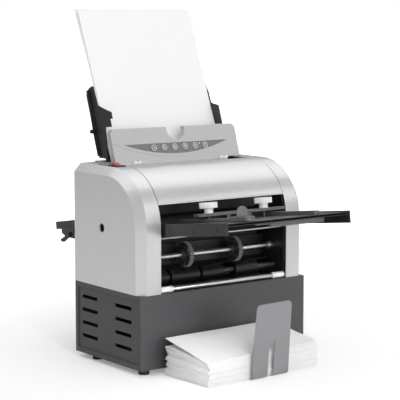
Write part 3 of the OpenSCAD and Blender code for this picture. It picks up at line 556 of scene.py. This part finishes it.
rng = random.Random(7)
pattern = folded_letter()
for index in range(LETTERS):
    ob = copy_at(pattern, Matrix.Identity(4))
    base = FIRST + PITCH * index
    straight = index < STRAIGHT_LETTERS
    slip_x = rng.uniform(-1.4, 2.2)
    slip_y = rng.uniform(0.4, 1.6) if straight else rng.uniform(-0.6, 1.8)
    turn = math.radians(rng.uniform(-0.5, 0.3) if straight else rng.uniform(-0.7, 0.5))
    ob.data.transform(shift(slip_x, slip_y, base) @ Matrix.Rotation(turn, 4, 'Z'))
    top = index == LETTERS - 1
    if top:
        ob.data.transform(shift(*TOP_SLIP))
    for v in ob.data.vertices:
        x, y, z = v.co / MM
        height = pile_height(x, y, z)
        if top and z - base > MIDDLE_THIRD:
            back = max(0.0, (y + FOLD_D / 2) / FOLD_D)
            upper = 1 if z - base > TOP_THIRD else 0.12
            height += upper * LIFT * back ** 1.2 * (1 - 0.12 * x / FOLD_L)
        v.co.z = height * MM
    apply(ob, 'SOLIDIFY', thickness=LETTER_T * MM, offset=0)
    settle(ob, DESK, "folded_letter_%02d" % index, "stack", "paper", letter_paper_painted_light,
           ["folded_stack"] if index == 0 else (), angle=60)
bpy.data.objects.remove(pattern)


# ---------- marks and rings on the keys ----------
mark_finish = make_finish("key_marks", (0.88, 0.88, 0.89), 0.4, amount=0.03)
KEY_X0, KEY_PITCH, KEY_UP, KEY_FACE = -44.5, 19.4, 21, -0.9
RING_R, RING_WIRE = 4.35, 0.34
STROKE_W, PROUD, SUNK = 0.55, 0.12, 0.05
LAMP_R, LAMP_UP = 1.1, 3.4


def stroke(x, up, length, turn):
    ob = block((-length / 2, -PROUD, -STROKE_W / 2), (length / 2, SUNK, STROKE_W / 2))
    round_edges(ob, 0.06, 1)
    ob.data.transform(shift(x, KEY_FACE, up) @ Matrix.Rotation(math.radians(turn), 4, 'Y'))
    return ob


# strokes of each key: across, up, length in mm, and turn in degrees
MARKS = (
    ((0.6, -0.8, 2.6, 0), (0.6, 0.8, 2.6, 0), (-0.7, 0, 2.0, 90), (1.9, 0, 2.0, 90)),
    ((-0.9, 0.9, 2.4, 0), (-0.9, -0.7, 2.4, 0), (-2.0, 0.1, 2.0, 90), (0.8, 0.1, 3.4, 90),
     (1.4, -1.4, 1.8, 0)),
    ((0, 1.5, 3.0, 0), (0, 0, 2.2, 0), (0, -1.5, 3.0, 0), (-1.4, 0, 3.2, 90)),
    ((0, 0, 4.4, 40), (0, 0, 4.4, -40), (0, 1.6, 2.8, 0)),
    ((0, 1.1, 2.6, 0), (0, -1.1, 2.6, 0), (-1.1, 0, 2.6, 90), (1.1, 0, 2.6, 90), (0, 0, 1.0, 0)),
    ((0, 0, 4.8, 55), (0.9, 1.5, 2.2, 0), (0.3, 0.2, 1.8, 0)),
)
for index, marks in enumerate(MARKS):
    x = KEY_X0 + index * KEY_PITCH
    clear()
    bpy.ops.mesh.primitive_torus_add(major_radius=RING_R * MM, minor_radius=RING_WIRE * MM,
                                     major_segments=56, minor_segments=8)
    ring = bpy.context.object
    ring.data.transform(shift(x, KEY_FACE, KEY_UP) @ Matrix.Rotation(math.radians(90), 4, 'X')
                        @ Matrix.Diagonal((1, 1, 0.5, 1)))
    strokes = [stroke(x + across, KEY_UP + up, length, turn) for across, up, length, turn in marks]
    key = "key_%d" % (index + 1)
    settle(join(ring, *strokes), PANEL, key + "_mark", key, "key_grey", mark_finish)


def ready_lamp():
    """A small lamp above and between the last two keys."""
    clear()
    bpy.ops.mesh.primitive_uv_sphere_add(segments=20, ring_count=10, radius=LAMP_R * MM)
    ob = bpy.context.object
    ob.data.transform(shift(KEY_X0 + 4.5 * KEY_PITCH, 0, KEY_UP + LAMP_UP)
                      @ Matrix.Diagonal((1, 0.5, 1, 1)))
    settle(ob, PANEL, "ready_lamp", "machine", "key_grey", mark_finish)


ready_lamp()


# ---------- small hardware ----------
BLOCK_Y, BLOCK_Z = (20.9, 25.3), (292.5, 296.6)
CROWN_IN, CROWN_UP = 0.9, 1.4
PIN_Y, PIN_Z, PIN_R, PIN_L, PIN_IN = 23.1, 298.2, 1.7, 3.4, 1.2
COVER_EDGE = Vector((0, 25.2, 291.6)) * MM  # the rear edge of the open cover, and the way it faces
COVER_NORMAL = (0, -0.819, -0.574)


def hinge_block(x, width, name):
    """A white hinge block behind the top cover, undercut to clear the cover when it is open."""
    ob = block((-width / 2, BLOCK_Y[0], BLOCK_Z[0]), (width / 2, BLOCK_Y[1], BLOCK_Z[1]))
    pick_faces(ob, lambda c, n: n.z > 0.9)
    bpy.ops.mesh.inset(thickness=CROWN_IN * MM)
    bpy.ops.transform.translate(value=(0, 0, CROWN_UP * MM))
    bpy.ops.mesh.select_all(action='SELECT')
    bpy.ops.mesh.bisect(plane_co=COVER_EDGE, plane_no=COVER_NORMAL, use_fill=True,
                        clear_outer=True)
    done()
    round_edges(ob, 0.4, 3, 20)
    pins = [round_edges(rod((a, PIN_Y, PIN_Z), (a + PIN_L, PIN_Y, PIN_Z), PIN_R, 24), 0.4)
            for a in (PIN_IN - width / 2, width / 2 - PIN_IN - PIN_L)]
    settle(join(ob, *pins), BODY @ shift(x, 0, 0), name, "machine", "white_plastic")


def base_plate():
    """The sheet that closes the stand from below, with two pressed panels."""
    flange, sheet, border, slope, press = 34, 1.5, 14, 1.2, 0.9
    low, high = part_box("stand_frame")
    x, y0, y1, z = high[0] / MM - flange, low[1] / MM + sheet, high[1] / MM - sheet, low[2] / MM
    ob = block((-x, y0, z), (x, y1, z + sheet))
    only(ob)
    bpy.ops.object.mode_set(mode='EDIT')
    bpy.ops.mesh.select_all(action='SELECT')
    bpy.ops.mesh.bisect(plane_co=(0, 0, 0), plane_no=(1, 0, 0))
    done()
    pick_faces(ob, lambda c, n: n.z < -0.9)
    bpy.ops.mesh.inset(thickness=border * MM, use_individual=True)
    bpy.ops.mesh.inset(thickness=slope * MM, use_individual=True)
    bpy.ops.transform.translate(value=(0, 0, press * MM))
    done()
    settle(round_edges(ob, 0.25), Matrix.Identity(4), "base_plate", "machine", "stand_paint")


def lip_rod():
    """The bright rod at the throat's lip, between two white caps with a collar each."""
    steel_r, bore_r, cap_l = 3.6, 3.4, 22
    collar_from, collar_to, collar_up = 3, 4.5, 0.35
    low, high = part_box("lip_rod")
    y, z = (low[1] + high[1]) / 2 / MM, (low[2] + high[2]) / 2 / MM
    end, cap_r = high[0] / MM, (high[2] - low[2]) / 2 / MM
    inner = end - cap_l                     # where a cap begins
    steel = round_edges(rod((-inner, y, z), (inner, y, z), steel_r), 0.3)
    settle(steel, Matrix.Identity(4), "lip_rod_steel", "machine", "polished_steel",
           satin_steel, ["lip_rod"])
    for side, label in ((-1, "left"), (1, "right")):
        cap = rod((side * inner, y, z), (side * end, y, z), cap_r)
        cap = cut(cap, rod((side * (inner - 1), y, z), (side * (inner + 1), y, z), bore_r))
        collar = rod((side * (inner + collar_from), y, z), (side * (inner + collar_to), y, z),
                     cap_r + collar_up)
        settle(join(round_edges(cap, 0.7, 3), round_edges(collar, 0.3)), Matrix.Identity(4),
               "lip_cap_" + label, "machine", "white_plastic")


hinge_block(-82, 14.5, "hinge_block_left")
hinge_block(81.5, 15.8, "hinge_block_right")
base_plate()
lip_rod()

# ---------- camera: the photograph's view ----------
cam = bpy.data.cameras.new("camera")
camera = bpy.data.objects.new("camera", cam)
bpy.context.collection.objects.link(camera)
cam.lens = 129.66
cam.sensor_width = 36
cam.clip_end = 50
camera.location = Vector((-1298.79, -1757.4 + Y_MID, 501.16)) * MM
camera.rotation_euler = (math.radians(90 - 6.89), 0, math.radians(-36.84))
bpy.context.scene.camera = camera


# ---------- light and floor ----------
def softbox(name, place, target, size, watts, size_y=None, beam=180):
    """A rectangular lamp, in metres and watts. A narrow beam, in degrees, lights one place."""
    data = bpy.data.lights.new(name, 'AREA')
    data.shape = 'RECTANGLE'
    data.size = size
    data.size_y = size_y or size
    data.energy = watts
    data.spread = math.radians(beam)
    ob = bpy.data.objects.new(name, data)
    bpy.context.collection.objects.link(ob)
    ob.location = place
    aim = Vector(target) - Vector(place)
    ob.rotation_euler = aim.to_track_quat('-Z', 'Y').to_euler()


softbox("overhead_front", (0.6, 0.33, 2.6), (0.6, 0.33, 0.0), 5.6, 32, 1.75)
softbox("overhead_rear", (0.6, 2.3, 2.6), (0.6, 2.3, 0.0), 5.6, 28, 2.2)
softbox("key", (-1.2, -2.5, 1.2), (0, 0, 0.15), 1.3, 27)
softbox("front", (0.35, -2.7, 0.55), (0, 0, 0.1), 1.6, 14, 0.8)
softbox("front_low", (0.25, -2.0, 0.30), (0, -0.2, 0.04), 0.7, 0.09, 0.3, 14)
softbox("on_letters", (-0.35, -1.5, 1.9), DESK.translation, 0.5, 0.13, 0.5, 10)
LETTER_ENDS = DESK @ Vector((-0.105, -0.03, 0.02))
softbox("letter_ends", (-1.8, -0.9, 0.35), LETTER_ENDS, 0.12, 0.035, 0.12, 6)
softbox("right_low", (1.5, -1.6, 1.4), (0, 0, 0.25), 1.3, 3.4, 0.9)


def for_camera(tree, plain, seen, output):
    """The camera sees one shader, and all else is lit by the other."""
    path = tree.nodes.new('ShaderNodeLightPath')
    pick = tree.nodes.new('ShaderNodeMixShader')
    tree.links.new(path.outputs['Is Camera Ray'], pick.inputs[0])
    tree.links.new(plain.outputs[0], pick.inputs[1])
    tree.links.new(seen.outputs[0], pick.inputs[2])
    tree.links.new(pick.outputs[0], tree.nodes.new(output).inputs[0])


AMBIENT, WHITE = 0.36, 1.0                  # what lights the object, and what the camera sees


def make_world():
    """A soft grey studio all round, white to the camera."""
    world = bpy.data.worlds.new("studio")
    world.use_nodes = True
    tree = world.node_tree
    tree.nodes.clear()
    skies = []
    for strength in (AMBIENT, WHITE):
        sky = tree.nodes.new('ShaderNodeBackground')
        sky.inputs['Color'].default_value = (1, 1, 1, 1)
        sky.inputs['Strength'].default_value = strength
        skies.append(sky)
    for_camera(tree, *skies, 'ShaderNodeOutputWorld')
    return world


FLOOR_SIZE, NEAR, FAR = 60, 0.35, 1.6       # metres: the floor, and where its shadow fades out
GLOW_NEAR, GLOW_FAR = 0.24, 0.95            # added for the camera alone, so the floor is white


def make_floor_white():
    """A matt floor that keeps the object's shadow and fades to white away from it."""
    material = bpy.data.materials.new("floor_white")
    material.use_nodes = True
    tree = material.node_tree
    tree.nodes.clear()
    lit, glow, both = (tree.nodes.new('ShaderNodeBsdfDiffuse'),
                       tree.nodes.new('ShaderNodeEmission'),
                       tree.nodes.new('ShaderNodeAddShader'))
    lit.inputs['Color'].default_value = (0.85, 0.85, 0.85, 1)
    away = tree.nodes.new('ShaderNodeVectorMath')
    away.operation = 'LENGTH'
    tree.links.new(tree.nodes.new('ShaderNodeTexCoord').outputs['Object'], away.inputs[0])
    fade = tree.nodes.new('ShaderNodeMapRange')
    for socket, value in (('From Min', NEAR), ('From Max', FAR), ('To Min', GLOW_NEAR),
                          ('To Max', GLOW_FAR)):
        fade.inputs[socket].default_value = value
    tree.links.new(away.outputs['Value'], fade.inputs['Value'])
    tree.links.new(fade.outputs['Result'], glow.inputs['Strength'])
    tree.links.new(lit.outputs[0], both.inputs[0])
    tree.links.new(glow.outputs[0], both.inputs[1])
    for_camera(tree, lit, both, 'ShaderNodeOutputMaterial')
    return material


bpy.context.scene.world = make_world()
bpy.ops.mesh.primitive_plane_add(size=FLOOR_SIZE, location=(0, 0, 0))
floor = bpy.context.object
floor.name = "floor"
floor.data.materials.append(make_floor_white())

bpy.context.scene.view_settings.view_transform = 'Standard'
